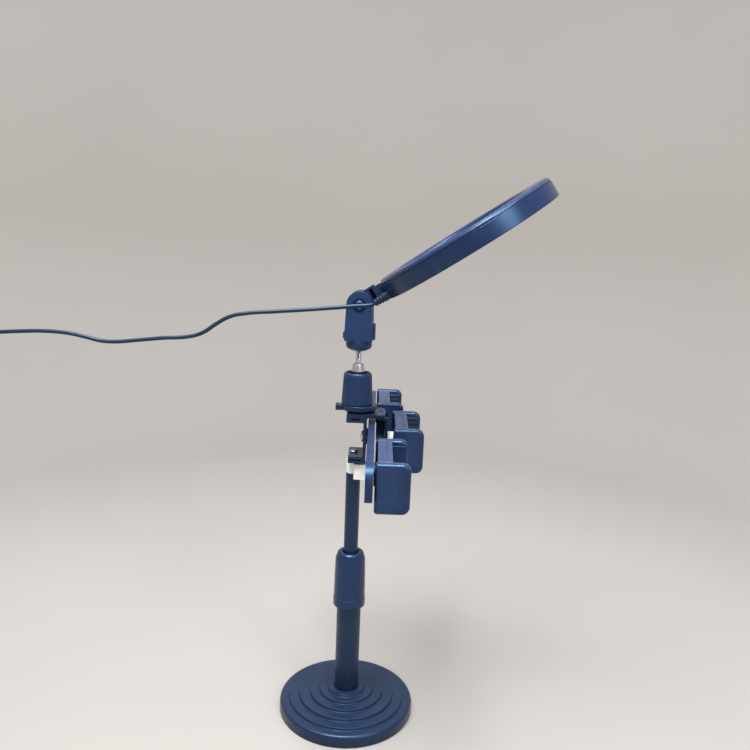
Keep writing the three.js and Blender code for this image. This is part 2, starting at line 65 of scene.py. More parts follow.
# The USB cable, from its strain relief to its plug
CABLE_DIAMETER = 0.0039
CABLE_ROUTE = [
    (0.0157, -0.0288, 0.4504), (0.014, -0.0287, 0.4493), (0.0075, -0.0282, 0.4479),
    (0.0, -0.028, 0.4474), (-0.0136, -0.028, 0.4458), (-0.0464, -0.028, 0.4422),
    (-0.0803, -0.028, 0.4389), (-0.106, -0.028, 0.4364), (-0.1239, -0.028, 0.4324),
    (-0.1375, -0.028, 0.4246), (-0.1495, -0.028, 0.4162), (-0.161, -0.028, 0.4119),
    (-0.1913, -0.028, 0.4087), (-0.2139, -0.028, 0.4059), (-0.2364, -0.028, 0.4034),
    (-0.2501, -0.028, 0.4038), (-0.2637, -0.028, 0.4067), (-0.2812, -0.028, 0.41),
    (-0.3036, -0.028, 0.4113), (-0.3261, -0.028, 0.4104), (-0.368, -0.028, 0.407),
]

# Places that the frame's boxes don't give
HEAD_X = 1.4  # the ball head's axis
PIVOT_Z = 446.2  # the ring light's tilt axis
RING_TILT = math.radians(34)
RING_CENTRE = 123  # from the pivot
RING_INNER, RING_OUTER, RING_HALF = 69, 95.5, 10
CLEVIS_TURN = math.radians(-2.9)
CLIP_Z = 306.8  # the pivots of the clips
CLIP_SPACING = 114
BALL_Z = 361.7
BAR_BOLT_Z = 310
THUMB_X = 26.4  # the axis of the thumb screw
CREASE = math.radians(32)  # a sharper bend than this is an edge

ALONG_X = Matrix.Rotation(math.pi / 2, 4, "Y")  # turns +Z to +X
AGAINST_X = Matrix.Rotation(-math.pi / 2, 4, "Y")
ALONG_Y = Matrix.Rotation(-math.pi / 2, 4, "X")
AGAINST_Y = Matrix.Rotation(math.pi / 2, 4, "X")


def at(x=0, y=0, z=0):
    return Matrix.Translation((x, y, z))


HEAD = at(HEAD_X)
CLEVIS = HEAD @ Matrix.Rotation(CLEVIS_TURN, 4, "Z")
RING_LIGHT = CLEVIS @ at(z=PIVOT_Z) @ Matrix.Rotation(-RING_TILT, 4, "Y")
RING_MIDDLE = RING_LIGHT @ at(RING_CENTRE)
BAR_BOLT = at(0, 0, BAR_BOLT_Z) @ ALONG_X


def span(node):
    """The lowest and highest corner of a CAD node, in millimetres."""
    low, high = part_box(node)
    return low / MM, high / MM


# ---------------------------------------------------------------- shapes

def rounded(corners, steps=5):
    """A closed outline through (x, y, radius) corners, each corner an arc; radius may be left out."""
    line = []
    for i, corner in enumerate(corners):
        here = Vector(corner[:2])
        radius = corner[2] if len(corner) > 2 else 0
        back = Vector(corners[i - 1][:2]) - here
        on = Vector(corners[(i + 1) % len(corners)][:2]) - here
        if radius == 0 or min(back.length, on.length) < 1e-6:
            line.append(tuple(here))
            continue
        half = back.angle(on) / 2
        reach = min(radius / math.tan(half), 0.49 * min(back.length, on.length))
        radius = reach * math.tan(half)
        centre = here + (back.normalized() + on.normalized()).normalized() * (radius / math.sin(half))
        start = here + back.normalized() * reach - centre
        end = here + on.normalized() * reach - centre
        first = math.atan2(start.y, start.x)
        sweep = (math.atan2(end.y, end.x) - first + math.pi) % TURN - math.pi
        for k in range(steps + 1):
            a = first + sweep * k / steps
            line.append((centre.x + radius * math.cos(a), centre.y + radius * math.sin(a)))
    return line


def box_outline(x0, x1, y0, y1, radius=0, steps=5):
    return rounded([(x0, y0, radius), (x1, y0, radius), (x1, y1, radius), (x0, y1, radius)], steps)


def circle(radius, steps):
    return [(radius * math.cos(TURN * k / steps), radius * math.sin(TURN * k / steps)) for k in range(steps)]


def volume(points, faces):
    total = 0
    for face in faces:
        for k in range(1, len(face) - 1):
            total += points[face[0]].dot(points[face[k]].cross(points[face[k + 1]]))
    return total


def solid(points, faces, place=None):
    """Points and faces of a closed shape, moved to its place, with its faces pointing out."""
    points = [place @ Vector(p) if place else Vector(p) for p in points]
    if volume(points, faces) < 0:
        faces = [face[::-1] for face in faces]
    return points, faces


def turned(corners, segments=96, steps=5, place=None, ripple=None):
    """A solid of revolution about Z through (radius, height, fillet) corners.

    ripple changes the radius round it.
    """
    line = rounded(corners, steps)
    points, rows = [], []
    for r, z in line:
        if r < 1e-6:
            rows.append([len(points)] * segments)
            points.append((0, 0, z))
            continue
        rows.append(range(len(points), len(points) + segments))
        for k in range(segments):
            a = TURN * k / segments
            rr = ripple(r, z, a) if ripple else r
            points.append((rr * math.cos(a), rr * math.sin(a), z))
    faces = []
    for i, row in enumerate(rows):
        after = rows[(i + 1) % len(rows)]
        for k in range(segments):
            j = (k + 1) % segments
            face = list(dict.fromkeys((row[k], row[j], after[j], after[k])))
            if len(face) > 2:
                faces.append(face)
    return solid(points, faces, place)


def tube(inner, outer, z0, z1, fillet=0.3, segments=96, place=None):
    corners = [(inner, z0, fillet), (outer, z0, fillet), (outer, z1, fillet), (inner, z1, fillet)]
    return turned(corners, segments, 3, place)


def rod(radius, z0, z1, fillet=0.2, segments=48, place=None):
    return turned([(0, z0), (radius, z0, fillet), (radius, z1, fillet), (0, z1)], segments, 3, place)


def prism(outline, z0, z1, place=None):
    """An outline in X and Y carried from z0 to z1."""
    n = len(outline)
    points = [(x, y, z0) for x, y in outline] + [(x, y, z1) for x, y in outline]
    faces = [[i, (i + 1) % n, n + (i + 1) % n, n + i] for i in range(n)]
    faces += [list(range(n)), list(range(n, 2 * n))[::-1]]
    return solid(points, faces, place)


def side_prism(outline, y0, y1, place=Matrix.Identity(4)):
    """An outline in X and Z carried along Y."""
    return prism(outline, -y1, -y0, place @ AGAINST_Y)


def front_prism(outline, x0, x1, place=Matrix.Identity(4)):
    """An outline in Y and Z carried along X."""
    return prism(outline, x0, x1, place @ Matrix(((0, 0, 1, 0), (1, 0, 0, 0), (0, 1, 0, 0), (0, 0, 0, 1))))


def brick(x, y, z, place=None):
    return prism([(x[0], y[0]), (x[1], y[0]), (x[1], y[1]), (x[0], y[1])], z[0], z[1], place)


def thread(radius, pitch, depth, z0, z1, place):
    """A round bar with a cut thread: one helical groove, fading out at both ends."""
    segments, rows_a_turn = 36, 6
    count = max(2, round((z1 - z0) / pitch * rows_a_turn))
    points, faces = [(0, 0, z0)], []
    for i in range(count + 1):
        z = z0 + (z1 - z0) * i / count
        fade = min(1, 1.5 * (z - z0) / pitch, 1.5 * (z1 - z) / pitch)
        for k in range(segments):
            turn = (z / pitch - k / segments) % 1
            cut = depth * fade * (1 - abs(2 * turn - 1))
            a = TURN * k / segments
            points.append(((radius - cut) * math.cos(a), (radius - cut) * math.sin(a), z))
    points.append((0, 0, z1))
    last = len(points) - 1
    for k in range(segments):
        j = (k + 1) % segments
        faces.append([0, 1 + j, 1 + k])
        for i in range(count):
            low, high = 1 + i * segments, 1 + (i + 1) * segments
            faces.append([low + k, low + j, high + j, high + k])
        faces.append([last, 1 + count * segments + k, 1 + count * segments + j])
    return solid(points, faces, place)


def as_object(shape, name="scratch"):
    mesh = bpy.data.meshes.new(name)
    mesh.from_pydata([p * MM for p in shape[0]], [], shape[1])
    thing = bpy.data.objects.new(name, mesh)
    bpy.context.scene.collection.objects.link(thing)
    return thing


def evaluated(thing):
    """A new mesh of an object with its modifiers applied."""
    bpy.context.view_layer.update()
    graph = bpy.context.evaluated_depsgraph_get()
    source = thing.evaluated_get(graph)
    return bpy.data.meshes.new_from_object(source, preserve_all_data_layers=True, depsgraph=graph)


def carved(shape, cut=(), join=()):
    """A shape with others joined to it and cut out of it."""
    thing = as_object(shape)
    tools = [(as_object(s), "UNION") for s in join] + [(as_object(s), "DIFFERENCE") for s in cut]
    for tool, how in tools:
        boolean = thing.modifiers.new(how, "BOOLEAN")
        boolean.operation = how
        boolean.solver = "EXACT"
        boolean.object = tool
    mesh = evaluated(thing)
    shape = [v.co / MM for v in mesh.vertices], [list(p.vertices) for p in mesh.polygons]
    for used in [thing] + [tool for tool, _ in tools]:
        bpy.data.objects.remove(used)
    return shape


def piece(name, shape, body, material, nodes=(), edge=0, edge_steps=3):
    """A shape as a named piece that rides on a body and stands for CAD nodes. edge rounds its sharp edges."""
    thing = as_object(shape, name)
    if edge:
        bevel = thing.modifiers.new("edge", "BEVEL")
        bevel.width = edge * MM
        bevel.segments = edge_steps
        bevel.limit_method = "ANGLE"
        bevel.angle_limit = CREASE
        bevel.use_clamp_overlap = True
        bevel.miter_outer = "MITER_ARC"
    thing.data = evaluated(thing)
    thing.modifiers.clear()
    thing.data.shade_smooth()
    thing.data.set_sharp_from_angle(angle=CREASE)
    weighted = thing.modifiers.new("normals", "WEIGHTED_NORMAL")
    weighted.keep_sharp = True
    thing.data = evaluated(thing)
    thing.modifiers.clear()
    thing.data.name = name
    thing.data.materials.clear()
    thing.data.materials.append(material)
    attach(thing, body)
    if nodes:
        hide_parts(*nodes)
    return thing


# ---------------------------------------------------------------- materials

class Shader:
    """A material's node tree, with short calls for the nodes used here."""

    def __init__(self, name, slot):
        self.material = bpy.data.materials.new(name)
        self.material.use_nodes = True
        self.material["slot"] = slot
        self.tree = self.material.node_tree
        self.surface = self.tree.nodes["Principled BSDF"]
        self.where = self.node("ShaderNodeTexCoord")

    def node(self, kind, **settings):
        made = self.tree.nodes.new(kind)
        for key, value in settings.items():
            setattr(made, key, value)
        return made

    def link(self, start, end):
        self.tree.links.new(start, end)

    def noise(self, size_mm, detail=3, roughness=0.55, stretch=(1, 1, 1)):
        mapping = self.node("ShaderNodeMapping")
        mapping.inputs["Scale"].default_value = [s / (size_mm * MM) for s in stretch]
        self.link(self.where.outputs["Object"], mapping.inputs["Vector"])
        noise = self.node("ShaderNodeTexNoise")
        noise.inputs["Scale"].default_value = 1
        noise.inputs["Detail"].default_value = detail
        noise.inputs["Roughness"].default_value = roughness
        self.link(mapping.outputs["Vector"], noise.inputs["Vector"])
        return noise.outputs["Fac"]

    def spread(self, source, low, high, to_low, to_high):
        ranged = self.node("ShaderNodeMapRange")
        for key, value in zip(("From Min", "From Max", "To Min", "To Max"), (low, high, to_low, to_high)):
            ranged.inputs[key].default_value = value
        self.link(source, ranged.inputs["Value"])
        return ranged.outputs["Result"]

    def times(self, a, b):
        math_node = self.node("ShaderNodeMath", operation="MULTIPLY")
        self.link(a, math_node.inputs[0])
        self.link(b, math_node.inputs[1])
        return math_node.outputs["Value"]

    def mix(self, factor, a, b):
        mixed = self.node("ShaderNodeMix", data_type="RGBA")
        self.link(factor, mixed.inputs["Factor"])
        for value, socket in ((a, mixed.inputs[6]), (b, mixed.inputs[7])):
            if isinstance(value, bpy.types.NodeSocket):
                self.link(value, socket)
            else:
                socket.default_value = (*value, 1)
        return mixed.outputs[2]

    def two_tone(self, source, low, high, first, second):
        """Colours the surface from first to second as source goes from low to high."""
        colour = self.mix(self.spread(source, low, high, 0, 1), first, second)
        self.link(colour, self.surface.inputs["Base Color"])

    def upward(self):
        """1 where the surface faces up at rest, and 0 on its sides."""
        parts = self.node("ShaderNodeSeparateXYZ")
        self.link(self.where.outputs["Normal"], parts.inputs["Vector"])
        return self.spread(parts.outputs["Z"], 0.75, 0.98, 0, 1)

    def edges(self, low, high, most):
        """0 on flat stretches and most on worn outer edges."""
        geometry = self.node("ShaderNodeNewGeometry")
        return self.spread(geometry.outputs["Pointiness"], low, high, 0, most)

    def bump(self, height, depth_mm):
        bump = self.node("ShaderNodeBump")
        bump.inputs["Strength"].default_value = 1.0
        bump.inputs["Distance"].default_value = depth_mm * MM
        self.link(height, bump.inputs["Height"])
        self.link(bump.outputs["Normal"], self.surface.inputs["Normal"])

    def set(self, **values):
        for key, value in values.items():
            self.surface.inputs[key.replace("_", " ")].default_value = value


def shade(colour, factor):
    return tuple(c * factor for c in colour)


PAINT_BLACK = (0.009, 0.016, 0.041)
PLASTIC_BLACK = (0.010, 0.020, 0.062)
CLIP_BLACK = (0.011, 0.021, 0.061)
GLOSS_BLACK = (0.010, 0.019, 0.060)
RUBBER_BLACK = (0.010, 0.016, 0.034)
# Light bluish colour for the top faces: partly dust, and partly a painted sheen of the light from above.
DUST_AND_SHEEN_COLOUR = (0.10, 0.17, 0.29)
SHEEN = (0.42, 0.70, 1.0, 1.0)


def moulded(name, slot, colour, roughness, grain, dust_and_sheen=0.10, wear=0.25, smear=0.07):
    """Injection-moulded plastic or paint: fine grain, faint flow marks, specks of dust together with a painted
    bluish sheen on top faces, and polished edges.

    grain is the grain's size and depth in millimetres.
    """
    s = Shader(name, slot)
    flow = s.noise(26, 4)
    toned = s.mix(s.spread(flow, 0.3, 0.7, 0, 1), shade(colour, 0.86), shade(colour, 1.14))
    specks = s.spread(s.noise(0.9, 2, 0.7), 0.50, 0.72, 0.25, 1)
    # Painted top light: faces that point up get speckles of a light bluish colour, partly dust and partly a
    # painted sheen of the light from above.
    dust_and_sheen_mask = s.times(s.times(s.upward(), specks), s.spread(flow, 0.2, 0.8, dust_and_sheen * 0.6, dust_and_sheen * 1.3))
    worn = s.mix(s.edges(0.53, 0.62, wear), toned, shade(colour, 2.6))
    s.link(s.mix(dust_and_sheen_mask, worn, DUST_AND_SHEEN_COLOUR), s.surface.inputs["Base Color"])
    handled = s.spread(s.noise(9, 5, 0.6), 0.3, 0.7, roughness - smear, roughness + smear)
    s.link(handled, s.surface.inputs["Roughness"])
    s.bump(s.noise(grain[0], 2, 0.6), grain[1])
    s.set(Specular_Tint=SHEEN, Specular_IOR_Level=0.55)
    return s.material


def white_nylon():
    s = Shader("white_nylon", "white_nylon")
    milky = s.noise(7, 3)
    s.two_tone(milky, 0.3, 0.7, (0.78, 0.79, 0.76), (0.92, 0.92, 0.90))
    s.link(s.spread(milky, 0.3, 0.7, 0.38, 0.50), s.surface.inputs["Roughness"])
    s.bump(s.noise(0.6, 2), 0.012)
    s.set(Subsurface_Weight=0.15, Subsurface_Scale=0.002)
    return s.material


def polished_chrome():
    s = Shader("polished_chrome", "chrome")
    haze = s.noise(4, 5, 0.65)
    s.two_tone(haze, 0.35, 0.7, (0.66, 0.63, 0.70), (0.52, 0.49, 0.56))
    s.link(s.spread(haze, 0.3, 0.75, 0.10, 0.28), s.surface.inputs["Roughness"])
    s.bump(s.noise(0.4, 2, 0.5, (1, 1, 6)), 0.003)
    s.set(Metallic=1.0)
    return s.material


def plain_steel():
    s = Shader("plain_steel", "steel")
    tarnish = s.noise(3, 5, 0.65)
    s.two_tone(tarnish, 0.35, 0.7, (0.50, 0.51, 0.54), (0.34, 0.34, 0.36))
    s.link(s.spread(tarnish, 0.3, 0.75, 0.26, 0.45), s.surface.inputs["Roughness"])
    s.bump(s.noise(0.25, 3, 0.6), 0.008)
    s.set(Metallic=1.0)
    return s.material


def cast_iron():
    s = Shader("cast_iron", "iron")
    s.two_tone(s.noise(5, 5), 0.35, 0.7, (0.05, 0.05, 0.055), (0.11, 0.10, 0.10))
    s.bump(s.noise(1.2, 4, 0.7), 0.12)
    s.set(Metallic=0.8, Roughness=0.7)
    return s.material


def frosted_diffuser():
    s = Shader("frosted_diffuser", "diffuser")
    frost = s.noise(12, 3)
    s.two_tone(frost, 0.3, 0.7, (0.84, 0.85, 0.84), (0.93, 0.93, 0.92))
    s.link(s.spread(frost, 0.3, 0.7, 0.40, 0.55), s.surface.inputs["Roughness"])
    s.bump(s.noise(0.4, 2, 0.6), 0.02)
    s.set(Subsurface_Weight=0.25, Subsurface_Scale=0.003)
    return s.material


def circuit_board():
    s = Shader("circuit_board", "board")
    s.two_tone(s.noise(3, 3), 0.3, 0.7, (0.72, 0.74, 0.70), (0.82, 0.83, 0.80))
    s.bump(s.noise(0.5, 2), 0.01)
    s.set(Roughness=0.5)
    return s.material


def make_materials():
    return {
        "paint": moulded("black_satin_paint", "black_paint", PAINT_BLACK, 0.34, (0.5, 0.010)),
        "plastic": moulded("black_moulded_plastic", "black_plastic", PLASTIC_BLACK, 0.40, (0.35, 0.012)),
        # The clip plastic's top faces get the most dust and painted bluish sheen.
        "clip": moulded("black_clip_plastic", "clip_plastic", CLIP_BLACK, 0.30, (0.3, 0.008), dust_and_sheen=0.22),
        "gloss": moulded("black_gloss_plastic", "gloss_plastic", GLOSS_BLACK, 0.27, (1.2, 0.005), dust_and_sheen=0.02,
                         smear=0.03),
        "rubber": moulded("black_rubber", "rubber", RUBBER_BLACK, 0.60, (0.25, 0.020), dust_and_sheen=0.12, wear=0),
        "cable": moulded("cable_jacket", "cable_rubber", RUBBER_BLACK, 0.38, (0.2, 0.006), dust_and_sheen=0.02, wear=0),
        "nylon": white_nylon(),
        "chrome": polished_chrome(),
        "steel": plain_steel(),
        "iron": cast_iron(),
        "diffuser": frosted_diffuser(),
        "board": circuit_board(),
    }


# ---------------------------------------------------------------- camera, stage and light

def make_camera():
    forward = Vector((
        -math.sin(CAMERA_YAW) * math.cos(CAMERA_PITCH),
        math.cos(CAMERA_YAW) * math.cos(CAMERA_PITCH),
        -math.sin(CAMERA_PITCH),
    ))
    level = Vector((math.cos(CAMERA_YAW), math.sin(CAMERA_YAW), 0))
    above = level.cross(forward)
    right = level * math.cos(CAMERA_ROLL) + above * math.sin(CAMERA_ROLL)
    up = above * math.cos(CAMERA_ROLL) - level * math.sin(CAMERA_ROLL)
    data = bpy.data.cameras.new("camera")
    data.lens = CAMERA_LENS
    data.sensor_width = CAMERA_SENSOR
    data.clip_start = 0.02
    camera = bpy.data.objects.new("camera", data)
    bpy.context.scene.collection.objects.link(camera)
    turn = Matrix((right, up, -forward)).transposed()
    camera.matrix_world = Matrix.Translation(CAMERA_PLACE) @ turn.to_4x4()
    bpy.context.scene.camera = camera


def paper(name, colour):
    material = bpy.data.materials.new(name)
    material.use_nodes = True
    tree = material.node_tree
    surface = tree.nodes["Principled BSDF"]
    where = tree.nodes.new("ShaderNodeTexCoord")
    noise = tree.nodes.new("ShaderNodeTexNoise")
    noise.inputs["Scale"].default_value = 2.2
    noise.inputs["Detail"].default_value = 6
    tree.links.new(where.outputs["Object"], noise.inputs["Vector"])
    mixed = tree.nodes.new("ShaderNodeMix")
    mixed.data_type = "RGBA"
    tree.links.new(noise.outputs["Fac"], mixed.inputs["Factor"])
    mixed.inputs[6].default_value = (*shade(colour, 0.95), 1)
    mixed.inputs[7].default_value = (*shade(colour, 1.05), 1)
    tree.links.new(mixed.outputs[2], surface.inputs["Base Color"])
    surface.inputs["Roughness"].default_value = 0.85
    return material


def make_stage():
    """A round studio bowl: a flat floor that curves up into a wall."""
    reach, bend, height, steps, segments = 1.55, 0.55, 1.9, 14, 128
    line = [(0.0, 0.0), (0.3, 0.0), (reach - bend, 0.0)]
    line += [
        (reach - bend + bend * math.sin(a), bend - bend * math.cos(a))
        for a in (math.pi / 2 * k / steps for k in range(1, steps + 1))
    ]
    line.append((reach, height))
    points, faces = [(0, 0, 0)], []
    for r, z in line[1:]:
        points += [(x, y, z) for x, y in circle(r, segments)]
    for k in range(segments):
        j = (k + 1) % segments
        faces.append([0, 1 + k, 1 + j])
        for i in range(len(line) - 2):
            low, high = 1 + i * segments, 1 + (i + 1) * segments
            faces.append([low + k, high + k, high + j, low + j])
    mesh = bpy.data.meshes.new("studio_floor")
    mesh.from_pydata(points, [], faces)
    mesh.shade_smooth()
    mesh.materials.append(paper("studio_paper", (0.352, 0.322, 0.290)))
    floor = bpy.data.objects.new("studio_floor", mesh)
    bpy.context.scene.collection.objects.link(floor)


def area_light(name, place, target, size, power, colour):
    data = bpy.data.lights.new(name, "AREA")
    data.shape = "RECTANGLE"
    data.size, data.size_y = size
    data.energy = power
    data.color = colour
    light = bpy.data.objects.new(name, data)
    bpy.context.scene.collection.objects.link(light)
    light.location = place
    light.rotation_euler = (Vector(target) - Vector(place)).to_track_quat("-Z", "Y").to_euler()


def make_light():
    world = bpy.data.worlds.new("studio")
    world.use_nodes = True
    world.node_tree.nodes["Background"].inputs["Color"].default_value = (0.84, 0.88, 1.0, 1)
    world.node_tree.nodes["Background"].inputs["Strength"].default_value = 1.0
    bpy.context.scene.world = world
    area_light("ceiling", (-0.1, -0.35, 1.75), (0, 0, 0.3), (0.85, 0.75), 58, (0.92, 0.96, 1.0))
    area_light("window", (0.98, -1.2, 1.12), (0.1, 0, 0.5), (0.7, 0.5), 24, (0.80, 0.90, 1.0))
    bpy.context.scene.view_settings.view_transform = "Standard"


# ---------------------------------------------------------------- cable and plug

def make_cable(m):
    """The cable as a tube that bends beside its strain relief, and the line down its middle."""
    data = bpy.data.curves.new("usb_cable_line", "CURVE")
    data.dimensions = "3D"
    data.resolution_u = 8
    data.bevel_resolution = 6
    data.use_fill_caps = True
    spline = data.splines.new("BEZIER")
    spline.bezier_points.add(len(CABLE_ROUTE) - 1)
    for point, place in zip(spline.bezier_points, CABLE_ROUTE):
        point.co = place
        point.handle_left_type = "AUTO"
        point.handle_right_type = "AUTO"
    line = bpy.data.objects.new("usb_cable_line", data)
    bpy.context.scene.collection.objects.link(line)
    path = [tuple(v.co) for v in evaluated(line).vertices]
    data.bevel_depth = CABLE_DIAMETER / 2
    mesh = evaluated(line)
    bpy.data.objects.remove(line)
    mesh.name = "usb_cable_jacket"
    mesh.shade_smooth()
    mesh.materials.clear()
    mesh.materials.append(m["cable"])
    cable = bpy.data.objects.new("usb_cable_jacket", mesh)
    bpy.context.scene.collection.objects.link(cable)
    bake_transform(cable)
    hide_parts("usb_cable")
    return cable, path


def make_plug(m):
    """A moulded grip, and the hollow metal shell of the plug with its tongue."""
    low, high = span("usb_plug")
    tip, back = low.x, high.x
    joint_x = tip + 12
    y, z = (low.y + high.y) / 2, (low.z + high.z) / 2
    half_y, half_z = (high.y - low.y) / 2, (high.z - low.z) / 2

    def ring(wide, tall, radius):
        return box_outline(y - wide, y + wide, z - tall, z + tall, radius)
    body = front_prism(ring(half_y, half_z, 1.6), joint_x, back)
    grips = [
        brick((joint_x + 5 + 2.6 * k, joint_x + 6.2 + 2.6 * k), (y - half_y + 2, y + half_y - 2),
              (z + side * half_z - 0.4, z + side * half_z + 0.4))
        for k in range(4) for side in (-1, 1)
    ]
    grip = piece("usb_plug_moulding", carved(body, cut=grips), "clevis", m["cable"], ["usb_plug"], 0.35, 2)
    sleeve = front_prism(ring(6, 2.25, 0.4), tip, joint_x - 0.02)
    hollow = front_prism(ring(5.65, 1.9, 0.2), tip - 1, joint_x - 1)
    windows = [
        brick((tip + 5, tip + 7.4), (y + side * 2.7 - 1.2, y + side * 2.7 + 1.2), (z - 3, z + 3))
        for side in (-1, 1)
    ]
    shell = piece("usb_plug_shell", carved(sleeve, cut=[hollow, *windows]), "clevis", m["steel"])
    blade = brick((tip + 1, joint_x - 1.1), (y - 5.4, y + 5.4), (z + 0.1, z + 1.8))
    tongue = piece("usb_plug_tongue", blade, "clevis", m["nylon"], edge=0.15)
    return [grip, shell, tongue]


# ---------------------------------------------------------------- stand and mast

def make_base(m):
    low, high = span("base_cover")
    outer = high.x
    treads = [(20, 25.5), (29, 23.3), (39.5, 20.9), (51, 18.3), (62, 15.6)]
    shoulder = 13.1
    corners = [(13.35, high.z - 3.1, 0), (13.35, high.z, 0.4)]
    for (r, z), (_, after) in zip(treads, treads[1:] + [(0, shoulder)]):
        corners += [(r, z, 0.45), (r + 0.8, after, 0.5)]
    corners += [(outer, shoulder - 0.2, 3.6), (outer, low.z, 0.5), (outer - 1.9, low.z, 0.2)]
    corners += [(outer - 1.9, 10.9, 0.5), (61.2, 11.2, 0), (20, 22.4, 0)]
    piece("base_shell", turned(corners, 160, 6), "stand", m["paint"], ["base_cover"])

    low, high = span("foot_pad")
    r, top = high.x, high.z
    pad = [(0, low.z), (r, low.z, 0.5), (r, top, 0.3), (0, top)]
    piece("base_foot_pad", turned(pad, 128, 4), "stand", m["rubber"], ["foot_pad"])


def make_lower_mast(m):
    low, high = span("lower_tube")
    piece("lower_pole", tube(11.5, high.x, low.z, high.z, 0.25, 96), "stand", m["paint"], ["lower_tube"])
    low, high = span("twist_collar")
    z0, z1 = low.z, high.z
    corners = [
        (13.3, z0, 0.2), (16.2, z0, 0.5), (17.1, z0 + 1.4, 0.8), (17.1, z0 + 9.8, 0.4),
        (16.7, z0 + 10.2, 0.2), (16.7, z0 + 14, 1), (16.4, z0 + 33, 5), (15.9, z1 - 8, 5),
        (13.9, z1 - 1.3, 2.4), (12.2, z1, 1.2), (8.9, z1, 0.5), (8.4, z1 - 1.2, 0.3),
        (8.4, z1 - 4.5, 0.5), (10, z1 - 7.5, 0.5), (13.3, 161, 0.5),
    ]
    piece("twist_lock_collar", turned(corners, 128, 7), "collar", m["gloss"], ["twist_collar"])
    low, high = span("upper_tube")
    piece("upper_pole", tube(6.5, high.x, low.z, high.z, 0.25, 96), "mast", m["paint"], ["upper_tube"])


def phillips(z, size, depth, place=Matrix.Identity(4)):
    """Cutters for a cross recess, its top at z, opening towards +Z."""
    arm = size * 0.17
    tall = [(-size / 2, z + 0.5), (size / 2, z + 0.5), (size * 0.22, z - depth), (-size * 0.22, z - depth)]
    blade = side_prism(tall, -arm, arm)
    other = solid([Matrix.Rotation(math.pi / 2, 4, "Z") @ p for p in blade[0]], blade[1])
    return [solid([place @ p for p in s[0]], s[1]) for s in (blade, other)]


def pan_head(radius, height, place, shaft, length, dome=None):
    """A pan-head screw from its seat at Z 0 upwards, its shaft below, with a cross recess."""
    dome = dome or height * 0.5
    corners = [
        (0, -length), (shaft, -length, 0.3), (shaft, 0), (radius, 0, 0.2), (radius, height - dome, 0.9),
        (radius * 0.62, height, 1.6), (0, height),
    ]
    head = turned(corners, 64, 5, place)
    return carved(head, cut=phillips(height, radius * 1.15, height * 0.75, place))


def make_mast_top(m):
    low, high = span("mast_top")
    top = high.z
    tube_end = span("upper_tube")[1].z
    fitting = turned([
        (2.8, top - 33, 0.2), (6.2, top - 33, 0.4), (6.2, tube_end + 0.3, 0), (7.5, tube_end + 0.3, 0.4),
        (7.5, top, 0.5), (2.8, top, 0.3),
    ], 72, 4)
    lug = prism(box_outline(0.5, high.x, low.y, -1, 1.8, 6), 267.5, 283.5)
    room = rod(7.8, 250, tube_end + 0.3, 0, 72)
    bore = rod(2.8, 240, 300, 0, 48)
    shape = carved(carved(lug, cut=[room, bore]), join=[fitting])
    piece("nylon_mast_fitting", shape, "mast", m["nylon"], ["mast_top"], 0.5, 3)
    screw = pan_head(4, 2.6, at(0, 0, 292.8), 2.3, 34)
    piece("swivel_screw_head", screw, "mast", m["chrome"], ["swivel_screw"])


# ---------------------------------------------------------------- bracket, hanger and crossbar

def bracket_corners(front):
    """Cutters that round the two front corners of the bracket's forward plate."""
    radius, half_width, past, steps = 8, 18, 1, 10
    straight = half_width - radius
    cutters = []
    for side in (-1, 1):
        edge = [
            (front - radius, side * (half_width + past)), (front + past, side * (half_width + past)),
            (front + past, side * straight), (front, side * straight),
        ]
        arc = [
            (front - radius + radius * math.cos(a), side * (straight + radius * math.sin(a)))
            for a in (math.pi / 2 * k / steps for k in range(1, steps + 1))
        ]
        cutters.append(prism(edge + arc, 332.5, 338.5))
    return cutters


def make_bracket(m):
    low, high = span("c_bracket")
    back, front = 9.2, 12.2  # of its upright web
    side = rounded([
        (-5.6, low.z, 0.6), (front, low.z, 2), (front, 331.9, 0.8), (14, 333.9, 0.8), (high.x, 333.9, 0.5),
        (high.x, high.z, 0.5), (low.x, high.z, 0.6), (low.x, 328.3, 0.6), (back, 328.3, 0.8),
        (back, 292.5, 0.8), (-5.6, 292.5, 0.6),
    ], 4)
    slots = [
        side_prism(box_outline(-3, 7.5, 288.3, 289.9), low.y - 1, high.y + 1),
        side_prism(box_outline(-3.7, 6, 331.1, 332.8), low.y - 1, high.y + 1),
    ]
    holes = [
        rod(2.8, 280, 294, 0), rod(3.4, 326, 339, 0, 48, HEAD), rod(2.3, 332, 339, 0, 36, at(THUMB_X)),
        rod(3.2, 8, 13, 0, 36, BAR_BOLT),
    ]
    shape = carved(side_prism(side, low.y, high.y), cut=bracket_corners(high.x) + slots + holes)
    piece("bracket_body", shape, "bracket", m["paint"], ["c_bracket"], 0.35, 2)


def make_bracket_screws(m):
    low, high = span("head_screw")
    screw = thread(3, 1.27, 0.5, low.z, high.z, HEAD)
    piece("head_screw_thread", screw, "bracket", m["steel"], ["head_screw"])

    seat = at(8.9, 0, BAR_BOLT_Z) @ AGAINST_X
    bolt = turned([
        (0, -11.5), (2.6, -11.5, 0.3), (2.6, 0.1), (6, 0.1, 0.2), (6, 1.2, 0.8), (4.2, 2.6, 1), (0, 3.0),
    ], 64, 5, seat)
    bolt = carved(bolt, cut=phillips(3.0, 5.6, 2, seat))
    piece("bar_bolt_head", bolt, "bracket", m["chrome"], ["bar_bolt"])
    low, high = span("bar_washer")
    washer = tube(3.3, 8.5, low.x, high.x, 0.4, 64, BAR_BOLT)
    piece("bar_spacer_washer", washer, "bracket", m["plastic"], ["bar_washer"])
    low, high = span("bar_nut")
    piece("bar_bolt_nut", nut(5.2, 2.9, low.x, high.x, BAR_BOLT), "bracket", m["steel"], ["bar_nut"])


